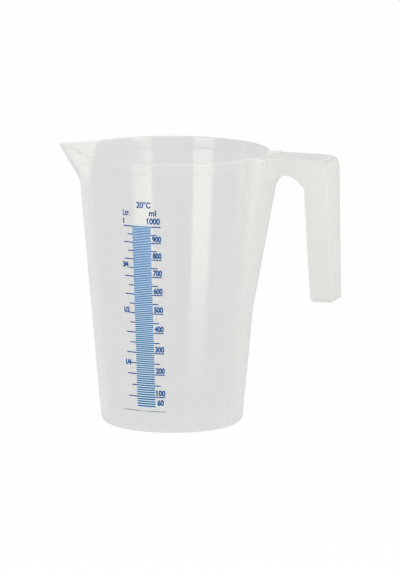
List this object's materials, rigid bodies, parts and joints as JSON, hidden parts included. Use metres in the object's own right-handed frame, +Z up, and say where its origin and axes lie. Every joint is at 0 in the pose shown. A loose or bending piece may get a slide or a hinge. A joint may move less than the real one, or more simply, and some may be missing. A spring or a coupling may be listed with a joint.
{
  "type": "measuring jug",
  "caption": "Tall tapered translucent plastic measuring jug with a V spout, an open hanging channel handle on a hollow buttress and a blue printed volume scale.",
  "frame": {"origin": "centre of the foot ring on the table, on the axis of the cup", "axes": "+X towards the handle, -X towards the spout, -Y towards the printed scale, +Z up"},
  "size_m": [0.1879, 0.1234, 0.176],
  "materials": {
    "cup_plastic": "translucent natural, smooth",
    "handle_plastic": "translucent natural, smooth",
    "blue_ink": "screen-printed"
  },
  "bodies": {
    "root": {"cup": "cup_plastic", "handle": "handle_plastic", "scale_ladder_10ml": "blue_ink", "scale_marks_ml": "blue_ink", "scale_marks_litre": "blue_ink", "scale_base_line": "blue_ink"}
  },
  "joints": []
}
